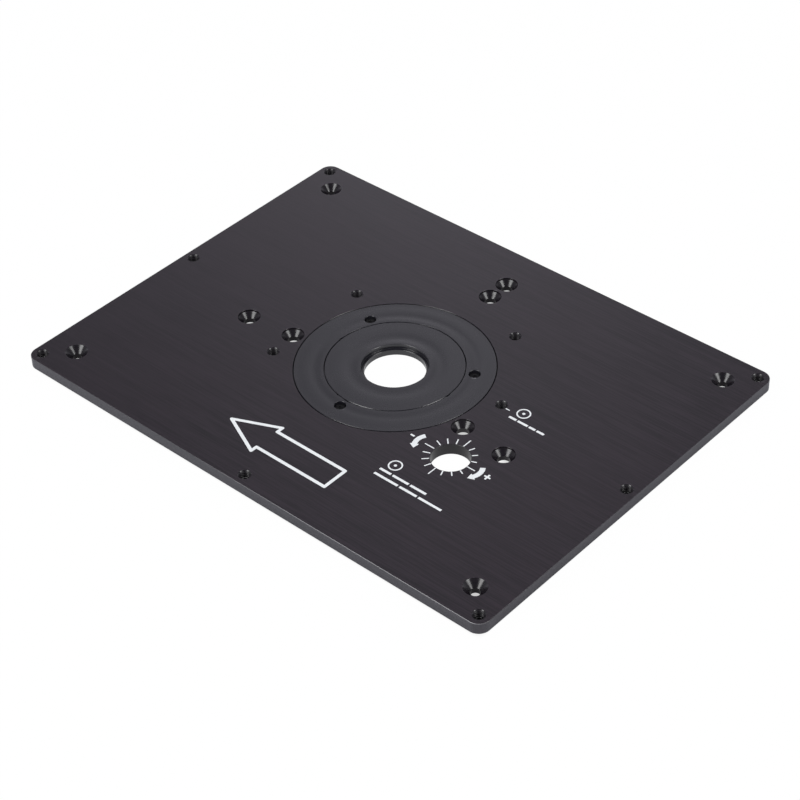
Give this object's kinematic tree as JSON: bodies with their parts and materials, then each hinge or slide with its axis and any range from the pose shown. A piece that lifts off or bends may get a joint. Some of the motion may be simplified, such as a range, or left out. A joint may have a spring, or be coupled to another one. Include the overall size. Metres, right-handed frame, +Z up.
{
  "type": "router table insert plate",
  "caption": "Flat black insert plate that carries a router under a table, with nested reducing rings round the cutter, an adjuster opening and levelling screws.",
  "frame": {"origin": "on the cutter axis at the plate's underside, which is also the centre of the corner fixing holes", "axes": "+X along the plate's long side to the operator's right, +Y away from the operator, +Z up out of the working face"},
  "size_m": [0.305, 0.229, 0.0094],
  "materials": {
    "plate": "brushed, black anodised",
    "ring": "moulded, satin",
    "screw": "black oxide",
    "ink": "white screen print"
  },
  "bodies": {
    "plate_body": {"plate": "plate", "feed_arrow": "ink", "dial_scale": "ink", "turn_arrows": "ink", "adjust_signs": "ink", "pin_dash": "ink", "note_rings": "ink", "note_bars": "ink"},
    "outer_ring_body": {"outer_ring": "ring"},
    "inner_ring_body": {"inner_ring": "ring"},
    "ring_screw_1_body": {"ring_screw_1": "screw"},
    "ring_screw_2_body": {"ring_screw_2": "screw"},
    "ring_screw_3_body": {"ring_screw_3": "screw"},
    "level_screw_1_body": {"level_screw_1": "screw"},
    "level_screw_2_body": {"level_screw_2": "screw"},
    "level_screw_3_body": {"level_screw_3": "screw"},
    "level_screw_4_body": {"level_screw_4": "screw"},
    "level_screw_5_body": {"level_screw_5": "screw"},
    "level_screw_6_body": {"level_screw_6": "screw"},
    "level_screw_7_body": {"level_screw_7": "screw"}
  },
  "joints": [
    {"name": "outer_ring_lift", "type": "slide", "parent": "plate_body", "child": "outer_ring_body", "axis": [0, 0, 1], "range_m": [0, 0.015]},
    {"name": "inner_ring_lift", "type": "slide", "parent": "outer_ring_body", "child": "inner_ring_body", "axis": [0, 0, 1], "range_m": [0, 0.015]},
    {"name": "ring_screw_1_out", "type": "slide", "parent": "outer_ring_body", "child": "ring_screw_1_body", "axis": [0, 0, 1], "range_m": [0, 0.01]},
    {"name": "ring_screw_2_out", "type": "slide", "parent": "outer_ring_body", "child": "ring_screw_2_body", "axis": [0, 0, 1], "range_m": [0, 0.01]},
    {"name": "ring_screw_3_out", "type": "slide", "parent": "outer_ring_body", "child": "ring_screw_3_body", "axis": [0, 0, 1], "range_m": [0, 0.01]},
    {"name": "level_screw_1_set", "type": "slide", "parent": "plate_body", "child": "level_screw_1_body", "axis": [0, 0, 1], "range_m": [-0.001, 0.003]},
    {"name": "level_screw_2_set", "type": "slide", "parent": "plate_body", "child": "level_screw_2_body", "axis": [0, 0, 1], "range_m": [-0.001, 0.003]},
    {"name": "level_screw_3_set", "type": "slide", "parent": "plate_body", "child": "level_screw_3_body", "axis": [0, 0, 1], "range_m": [-0.001, 0.003]},
    {"name": "level_screw_4_set", "type": "slide", "parent": "plate_body", "child": "level_screw_4_body", "axis": [0, 0, 1], "range_m": [-0.001, 0.003]},
    {"name": "level_screw_5_set", "type": "slide", "parent": "plate_body", "child": "level_screw_5_body", "axis": [0, 0, 1], "range_m": [-0.001, 0.003]},
    {"name": "level_screw_6_set", "type": "slide", "parent": "plate_body", "child": "level_screw_6_body", "axis": [0, 0, 1], "range_m": [-0.001, 0.003]},
    {"name": "level_screw_7_set", "type": "slide", "parent": "plate_body", "child": "level_screw_7_body", "axis": [0, 0, 1], "range_m": [-0.001, 0.003]}
  ]
}
